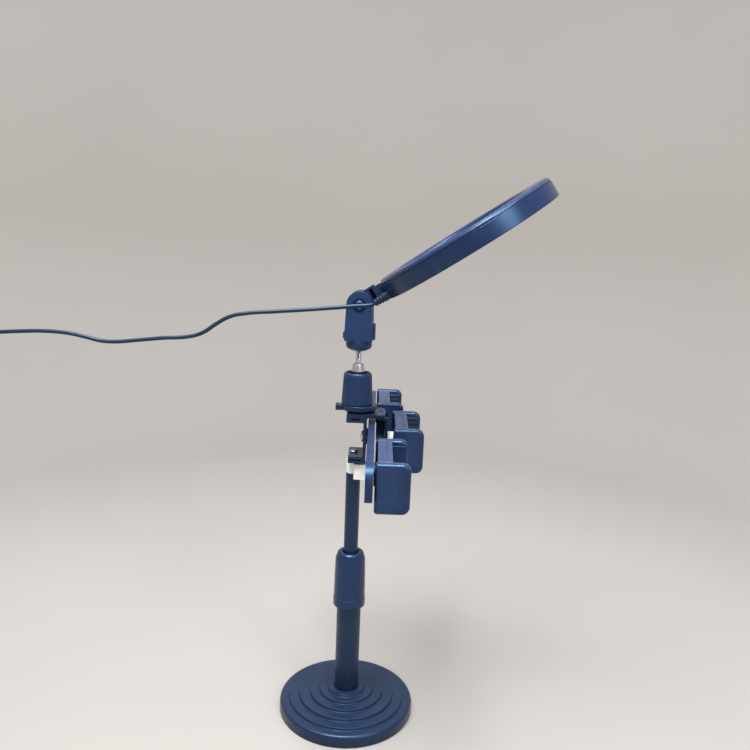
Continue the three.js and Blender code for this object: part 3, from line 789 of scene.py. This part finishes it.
def nut(radius, bore, z0, z1, place):
    """A hexagon nut along Z with its corners turned off."""
    hexagon = prism(circle(radius, 6), z0, z1, place)
    chamfer = 0.13 * radius
    inner, outer = radius * 0.88, radius * 1.4
    keep = turned([(inner, z0 - 1), (inner, z0), (radius, z0 + chamfer), (radius, z1 - chamfer), (inner, z1),
                   (inner, z1 + 1), (outer, z1 + 1), (outer, z0 - 1)], 48, 1, place)
    hole = rod(bore, z0 - 1, z1 + 1, 0, 36, place)
    return carved(hexagon, cut=[keep, hole])


def make_thumb_screw(m):
    low, high = span("thumb_screw")
    radius = (high.x - low.x) / 2

    def ribs(r, z, a):
        on_the_grip = r > radius - 0.6 and 315 < z < 329.6
        return r - 0.35 * (0.5 + 0.5 * math.cos(24 * a)) if on_the_grip else r
    head = turned([
        (0, low.z), (radius - 0.8, low.z, 0.5), (radius, 315.2, 0.2), (radius, 329.4, 0.2),
        (radius - 0.8, 330.3, 0.3), (1.9, 330.3, 0.2), (1.9, high.z, 0.3), (0, high.z),
    ], 192, 4, at(THUMB_X), ribs)
    piece("thumb_screw_ribbed", head, "thumb_screw", m["plastic"], ["thumb_screw"])


def make_hanger(m):
    low, high = span("mid_hanger")
    back = high.x - 2.2
    leg = prism(box_outline(low.x, high.x, low.y, high.y, 1.5), 330.6, high.z)
    drop = front_prism(box_outline(low.y, high.y, low.z, high.z, 3), back, high.x)
    holes = [rod(2.3, 325, 340, 0, 36, at(THUMB_X)), rod(2.4, 30, 35, 0, 36, at(0, 0, CLIP_Z) @ ALONG_X)]
    piece("hanger_plate", carved(leg, cut=holes, join=[drop]), "hanger", m["paint"], ["mid_hanger"], 0.35, 2)


def make_crossbar(m):
    """A bar with a ribbed back: bays between its ribs, and holes for the clips' screws and its own bolt."""
    low, high = span("crossbar")
    back, front, half = low.x, high.x, high.y
    ends = rounded([(-half, low.z, 6), (half, low.z, 6), (half, high.z, 14), (-half, high.z, 14)], 12)
    bar = front_prism(ends, back, front)
    cuts = []
    for near, far in ((12, 56), (59, 101), (104, 124), (127, 151)):
        for y0, y1 in ((near, far), (-far, -near)):
            bay = box_outline(y0, y1, low.z + 2.5, high.z - 2.5, 1.5, 4)
            cuts.append(front_prism(bay, back - 1, front - 2))
    for y in (-CLIP_SPACING, CLIP_SPACING):
        cuts.append(rod(2.4, 10, 25, 0, 36, at(0, y, CLIP_Z) @ ALONG_X))
    cuts.append(rod(3.2, back - 1, front + 1, 0, 36, BAR_BOLT))
    cuts.append(rod(6.2, 17.5, front + 1, 0, 48, BAR_BOLT))
    piece("crossbar_moulding", carved(bar, cut=cuts), "crossbar", m["plastic"], ["crossbar"], 0.9, 4)


# ---------------------------------------------------------------- phone clips

JAW_THICK, JAW_DEEP, JAW_HIGH, CLIP_HALF = 10, 30.4, 44.4, 42
HOUSING_X, HOUSING_Z = (2.2, 15), (CLIP_Z - 19.4, CLIP_Z + 21.6)


def jaw_block(outer, place):
    """One rounded jaw. outer is the Y of its outside face, from the clip's middle."""
    low, high = CLIP_Z - JAW_HIGH / 2, CLIP_Z + JAW_HIGH / 2
    outline = rounded([(0, low, 2.8), (JAW_DEEP, low, 7), (JAW_DEEP, high, 7), (0, high, 2.8)], 10)
    inner = outer + JAW_THICK if outer < 0 else outer - JAW_THICK
    y0, y1 = min(outer, inner), max(outer, inner)
    edge, steps = 2.9, 6
    rows = []
    for k in range(steps + 1):
        a = math.pi / 2 * k / steps
        rows.append((y0 + edge - edge * math.cos(a), edge - edge * math.sin(a)))
    rows += [(y0 + y1 - y, inset) for y, inset in reversed(rows)]
    points, faces = [], []
    n = len(outline)
    for y, inset in rows:
        points += [(x, y, z) for x, z in (inward(outline, i, inset) for i in range(n))]
    for i in range(len(rows) - 1):
        for k in range(n):
            j = (k + 1) % n
            faces.append([i * n + k, i * n + j, (i + 1) * n + j, (i + 1) * n + k])
    faces += [list(range(n))[::-1], list(range((len(rows) - 1) * n, len(rows) * n))]
    return solid(points, faces, place)


def inward(outline, i, distance):
    """The point of an outline moved in by a distance, square to it."""
    before, here, after = Vector(outline[i - 1]), Vector(outline[i]), Vector(outline[(i + 1) % len(outline)])
    run = (here - before).normalized() + (after - here).normalized()
    normal = Vector((-run.y, run.x)).normalized()
    return tuple(here + normal * distance)


def rib_pad(side, place):
    """A soft pad with eight rounded ribs across the inner face of a jaw."""
    inner = CLIP_HALF - JAW_THICK
    z0, pitch, count = CLIP_Z - 17.5, 4.4, 8
    corners = [(side * (inner - 0.3), z0)]
    for i in range(count):
        z = z0 + i * pitch
        corners += [(side * (inner - 1.5), z + 0.6, 0.4), (side * (inner - 1.5), z + 3, 0.4),
                    (side * (inner - 0.8), z + 3.6, 0.2), (side * (inner - 0.8), z + 4.2, 0.2)]
    corners.append((side * (inner - 0.3), z0 + count * pitch - 0.1))
    return front_prism(rounded(corners, 3), HOUSING_X[1] + 0.6, 27, place)


def plain_pad(side, place):
    """A flat pad on the inner face of a jaw."""
    inner = CLIP_HALF - JAW_THICK
    y = sorted((side * (inner - 0.3), side * (inner - 1.1)))
    outline = box_outline(*y, CLIP_Z - 17.5, CLIP_Z + 17.3, 0.3, 3)
    return front_prism(outline, HOUSING_X[1] + 0.6, 27, place)


def spring_curve(place):
    """Points down a close-wound spring."""
    coils, radius, y0, y1 = 26, 2.6, -28.6, 9.6
    steps = coils * 16
    return [
        place @ Vector((9.3 + radius * math.cos(TURN * coils * k / steps), y0 + (y1 - y0) * k / steps,
                        CLIP_Z + radius * math.sin(TURN * coils * k / steps)))
        for k in range(steps + 1)
    ]


def clip_case(place):
    """The hollow housing that the sliding jaw runs in, with the fixed jaw on its end."""
    case = front_prism(box_outline(-34, 31.7, *HOUSING_Z, 1.6, 5), HOUSING_X[0], HOUSING_X[1], place)
    hollow = brick((5, 13.6), (-29.5, 33), (CLIP_Z - 14.5, CLIP_Z + 16.5), place)
    hole = rod(2.4, 0, 6, 0, 36, place @ at(0, 0, CLIP_Z) @ ALONG_X)
    case = carved(case, cut=[hollow, hole])
    # a shallow groove along the top and the bottom, where the two halves of the case meet
    seam = [brick((10.1, 10.5), (-40, 31), (z - 0.25, z + 0.25), place) for z in HOUSING_Z]
    case = carved(case, cut=seam)
    return carved(case, join=[jaw_block(-CLIP_HALF, place)])


def clip_jaw(place):
    """The sliding jaw and its tongue, with a window for the spring."""
    tongue = brick((5.4, 13.2), (-19.5, 34), (CLIP_Z - 14.1, CLIP_Z + 16.1), place)
    window = brick((0, 20), (-21, 10.5), (CLIP_Z - 4.2, CLIP_Z + 4.2), place)
    return carved(carved(tongue, cut=[window]), join=[jaw_block(CLIP_HALF, place)])


def make_clip_pivot(m, name, centre, hub_material):
    """The round hub behind a clip, and the screw that the clip turns on."""
    low, high = span(name + "_hub")
    radius = (high.z - low.z) / 2
    hub = tube(2.6, radius, low.x, high.x, 0.5, 96, at(0, centre, CLIP_Z) @ ALONG_X)
    piece(name + "_hub_disc", hub, name, hub_material, [name + "_hub"])

    low, high = span(name + "_pivot_screw")
    height = 2.4
    seat = at(low.x + height, centre, CLIP_Z) @ AGAINST_X
    head = pan_head((high.z - low.z) / 2, height, seat, 2, high.x - low.x - height)
    owner = "hanger" if name == "mid_clip" else "crossbar"
    piece(name + "_pivot_screw_head", head, owner, m["steel"], [name + "_pivot_screw"])


def make_clip_spring(m, name, place):
    data = bpy.data.curves.new(name + "_spring_wire", "CURVE")
    data.dimensions = "3D"
    data.bevel_depth = 0.45 * MM
    data.bevel_resolution = 2
    data.use_fill_caps = True
    line = spring_curve(place)
    spline = data.splines.new("POLY")
    spline.points.add(len(line) - 1)
    for point, where in zip(spline.points, line):
        point.co = (*(where * MM), 1)
    data.materials.append(m["steel"])
    spring = bpy.data.objects.new(name + "_spring_wire", data)
    bpy.context.scene.collection.objects.link(spring)
    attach(spring, name)
    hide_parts(name + "_spring")


def make_clip(m, name, centre, side, hub_material):
    """A phone clip. side is the side in Y that its sliding jaw opens to."""
    jaw_body = name.replace("clip", "jaw")
    back = span(name + "_housing")[0].x
    place = Matrix.Translation((back, centre, 0)) @ Matrix.Diagonal((1, side, 1, 1))
    piece(name + "_case", clip_case(place), name, m["clip"], [name + "_housing"], 0.3, 2)
    piece(name + "_sliding_jaw", clip_jaw(place), jaw_body, m["clip"], [name + "_jaw"], 0.3, 2)
    case_pad, pad_material = (plain_pad, m["clip"]) if name == "near_clip" else (rib_pad, m["rubber"])
    piece(name + "_case_ribs", case_pad(-1, place), name, pad_material, [name + "_housing_pad"])
    piece(name + "_jaw_ribs", rib_pad(1, place), jaw_body, m["rubber"], [name + "_jaw_pad"])
    make_clip_pivot(m, name, centre, hub_material)
    make_clip_spring(m, name, place)


# ---------------------------------------------------------------- ball head and clevis

def make_head_disc(m):
    low, high = span("head_disc")
    z0, z1 = low.z, high.z
    corners = [(0, z0), (15.5, z0, 0.6), (18.2, z0 + 2.5, 1), (18.2, z1, 0.7), (0, z1)]
    disc = turned(corners, 96, 5, HEAD @ at(2.6))
    ear = prism(box_outline(-21.8, -10, -5.5, 5.5, 1.6), z0 + 0.9, z1 - 0.8, HEAD)
    notch = prism(box_outline(-26, -19.8, -1.5, 1.5, 0.6), z0, z1, HEAD)
    bore = rod(3.4, z0 - 1, z1 + 1, 0, 48, HEAD)
    shape = carved(carved(ear, cut=[notch]), join=[carved(disc, cut=[bore])])
    piece("head_base_disc", shape, "bracket", m["paint"], ["head_disc"], 0.35, 2)


def make_ball_and_stud(m):
    low, high = span("ball")
    radius = (high.z - low.z) / 2
    steps = 40
    arc = [
        (radius * math.sin(math.pi * k / steps), BALL_Z - radius * math.cos(math.pi * k / steps))
        for k in range(steps + 1)
    ]
    arc[0], arc[-1] = (0, arc[0][1]), (0, arc[-1][1])
    piece("locking_ball", turned(arc, 64, 5, HEAD), "ball", m["steel"], ["ball"])

    low, high = span("ball_stud")
    flare = BALL_Z + 16
    neck = turned([
        (0, low.z), (5, low.z), (5, flare, 0.2), (7.2, flare + 0.3, 0.3), (7.2, flare + 1.4, 0.5),
        (5.3, flare + 8.2, 0.5), (4.5, flare + 8.9, 0.3), (3.1, flare + 9.1, 0.2), (3.1, flare + 13),
        (0, flare + 13),
    ], 80, 5, HEAD)
    screw = thread(3.1, 1.27, 0.42, flare + 12.5, high.z, HEAD)
    piece("ball_stud_chrome", carved(neck, join=[screw]), "stud", m["chrome"], ["ball_stud"])


def make_lock_knob(m):
    low, high = span("lock_knob")
    foot, top = low.z, high.z

    def ribs(r, z, a):
        if r < 13.3 or not foot + 2 < z < top - 3:
            return r
        fade = min(1, (z - foot - 2) / 1.5, (top - 3 - z) / 2.5)
        wave = 0.5 + 0.5 * math.cos(32 * a)
        return r - 0.45 * fade * wave ** 2
    rise = [(16 - 1.5 * k / 20, foot + 1.6 + (top - 5 - foot) * k / 20) for k in range(21)]
    shell = turned([
        (13, foot, 0.2), (15.8, foot, 0.5), *rise, (13.9, top - 1.1, 1.2), (12.6, top, 1.2),
        (11.7, top, 0.4), (9, BALL_Z + 8.5, 0.4), (10.3, BALL_Z + 7.5, 0.3), (13, BALL_Z - 2.5, 0.5),
    ], 384, 4, HEAD, ribs)
    piece("ball_lock_knob", shell, "lock_knob", m["plastic"], ["lock_knob"])


def make_lock_ring(m):
    low, high = span("lock_ring")
    ring = turned([
        (3.5, low.z, 0.3), (7.5, low.z, 0.5), (11.7, low.z + 2, 2), (13.2, low.z + 4.2, 1),
        (13.2, high.z, 0.5), (3.5, high.z, 0.3),
    ], 96, 5, HEAD)
    piece("stud_lock_ring", ring, "lock_ring", m["plastic"], ["lock_ring"])


def make_clevis(m):
    base, half_y = span("clevis")[0].z, 13
    cheek, slot, rise = 12.9, 4.4, PIVOT_Z + 1
    arc = [(cheek * math.cos(a), rise + cheek * math.sin(a)) for a in (math.pi * k / 40 for k in range(41))]
    side = [(-13.9, base), (13.9, base), (14.2, base + 4), *arc, (-14.2, base + 4)]
    body = side_prism(side, -half_y, half_y, CLEVIS)
    body = carved(body, join=[prism(box_outline(-16.2, 0, -5, 5, 0.8), 412, 418.3, CLEVIS),
                              prism(box_outline(0, 16.2, -5, 5, 0.8), 411.6, 427.5, CLEVIS)])
    pivot = CLEVIS @ at(z=PIVOT_Z) @ ALONG_Y
    cuts = [
        brick((-20, 20), (-slot, slot), (PIVOT_Z - 16, PIVOT_Z + 20), CLEVIS),
        rod(3.5, 400, 418, 0, 48, CLEVIS),
        rod(3.1, -20, 20, 0, 48, pivot),
        rod(6.5, -20, -10.9, 0, 72, pivot),
        rod(6.5, 10.9, 20, 0, 72, pivot),
    ]
    piece("clevis_fork", carved(body, cut=cuts), "clevis", m["plastic"], ["clevis"], 0.8, 4)
    near_face = CLEVIS @ at(0, -half_y + 0.15, PIVOT_Z) @ AGAINST_Y
    piece("pivot_rim", tube(6.5, 7.3, -0.5, 0.15, 0.15, 72, near_face), "clevis", m["plastic"])
    head = pan_head(5.4, 2.4, CLEVIS @ at(0, -11.2, PIVOT_Z) @ AGAINST_Y, 2.7, 24, 1.4)
    piece("pivot_screw_head", head, "clevis", m["plastic"], ["ring_pivot_screw"])
    piece("pivot_hex_nut", nut(5.8, 3, 11.2, 14, pivot), "clevis", m["steel"], ["ring_pivot_nut"])


# ---------------------------------------------------------------- ring light

def make_ring_shells(m):
    """The ring light's frame, its back cover and the diffuser over its lights."""
    inner, outer, half = RING_INNER, RING_OUTER, RING_HALF
    seam = half - 4.5
    frame_line = [
        (outer, -half, 0.7), (outer, seam, 0.35), (outer - 1.9, seam, 0.1), (outer - 1.9, 1.8, 0.4),
        (inner + 1.9, 1.8, 0.4), (inner + 1.9, seam, 0.1), (inner, seam, 0.35), (inner, -half, 0.7),
        (inner + 3.1, -half, 0.3), (inner + 3.1, -half + 1, 0.1), (inner + 1.9, -half + 1, 0.1),
        (inner + 1.9, 0, 0.4), (outer - 1.9, 0, 0.4), (outer - 1.9, -half + 1, 0.1),
        (outer - 3.1, -half + 1, 0.1), (outer - 3.1, -half, 0.3),
    ]
    housing = turned(frame_line, 256, 4, RING_MIDDLE)
    piece("ring_housing", housing, "ring_light", m["gloss"], ["ring_frame"])
    foot, roof = seam + 0.3, half - 1.8
    back_line = [
        (outer - 0.7, foot, 0.2), (outer - 0.7, half - 2.4, 1.4), (outer - 3.4, half, 2.2),
        (inner + 3.4, half, 2.2), (inner + 0.7, half - 2.4, 1.4), (inner + 0.7, foot, 0.2),
        (inner + 2.6, foot, 0.1), (inner + 2.6, roof, 0.4), (outer - 2.6, roof, 0.4),
        (outer - 2.6, foot, 0.1),
    ]
    cover = turned(back_line, 256, 5, RING_MIDDLE)
    piece("ring_back_cover", cover, "ring_light", m["gloss"], ["ring_back"])
    lens = [
        (outer - 2.3, -half + 1.3, 0.3), (outer - 2.3, -half + 3, 0.2), (inner + 2.3, -half + 3, 0.2),
        (inner + 2.3, -half + 1.3, 0.3),
    ]
    diffuser = turned(lens, 192, 3, RING_MIDDLE)
    piece("ring_light_diffuser", diffuser, "ring_light", m["diffuser"], ["ring_diffuser"])


def make_ring_lug(m, rim):
    """The lug that carries the ring light on its pivot. Its parts are joined one at a time."""
    half = RING_HALF
    eye = rod(11.5, -3.6, 3.6, 0, 72, RING_LIGHT @ ALONG_Y)
    side = rounded([(5, -8, 2), (22, -8, 0), (22, half, 0), (5, half, 5)])
    tongue = side_prism(side, -3.5, 3.5, RING_LIGHT)
    root = carved(prism(box_outline(17.8, 34, -10, 10, 1), -7.8, 7.9, RING_LIGHT), cut=[rim])
    flange = brick((15, 19.4), (-12, 12), (-3, 8.2), RING_LIGHT)
    lug = eye
    for part in (tongue, root, flange):
        lug = carved(lug, join=[part])
    lug = carved(lug, cut=[rod(3.1, -10, 10, 0, 48, RING_LIGHT @ ALONG_Y)])
    piece("ring_tilt_lug", lug, "ring_light", m["plastic"], ["ring_lug"], 0.4, 3)


def make_strain_relief(m, rim):
    corners = [(0, 15.7), (2.9, 15.7, 0.4)]
    for a, b, r in ((16.5, 18.3, 3.7), (19.5, 21.3, 4.0), (22.5, 24.3, 4.2)):
        corners += [(r - 0.9, a, 0.15), (r, a, 0.35), (r, b, 0.35), (r - 0.85, b, 0.15)]
    corners += [(3.4, 25.3, 0.2), (4.3, 25.3, 0.4), (4.3, 37), (0, 37)]
    relief = carved(turned(corners, 72, 4, RING_LIGHT @ at(0, -28, -5.3) @ ALONG_X), cut=[rim])
    piece("cable_strain_relief", relief, "ring_light", m["cable"], ["strain_relief"])


def make_ring_light(m):
    make_ring_shells(m)
    rim = rod(RING_OUTER + 0.3, -20, 20, 0, 192, RING_MIDDLE)  # cuts its neighbours to its round edge
    make_ring_lug(m, rim)
    make_strain_relief(m, rim)


def finish_hidden_nodes(m):
    """Inner pieces keep their CAD shape and get their real material."""
    inner = {
        "counterweight": "iron", "base_washer": "steel", "base_bolt": "steel", "tube_plug": "plastic",
        "collet": "plastic", "mast_guide": "plastic", "ball_seat": "plastic", "led_board": "board",
    }
    for node, material in inner.items():
        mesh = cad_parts[node].data
        mesh.materials.clear()
        mesh.materials.append(m[material])


make_camera()
materials = make_materials()
cable, cable_path = make_cable(materials)
plug_pieces = make_plug(materials)
make_ring_light(materials)
make_base(materials)
make_lower_mast(materials)
make_mast_top(materials)
make_bracket(materials)
make_bracket_screws(materials)
make_thumb_screw(materials)
make_hanger(materials)
make_crossbar(materials)
make_clip(materials, "near_clip", -CLIP_SPACING, -1, materials["plastic"])
make_clip(materials, "mid_clip", 0, 1, materials["nylon"])
make_clip(materials, "far_clip", CLIP_SPACING, 1, materials["plastic"])
make_head_disc(materials)
make_ball_and_stud(materials)
make_lock_knob(materials)
make_lock_ring(materials)
make_clevis(materials)
finish_hidden_nodes(materials)
make_stage()
make_light()
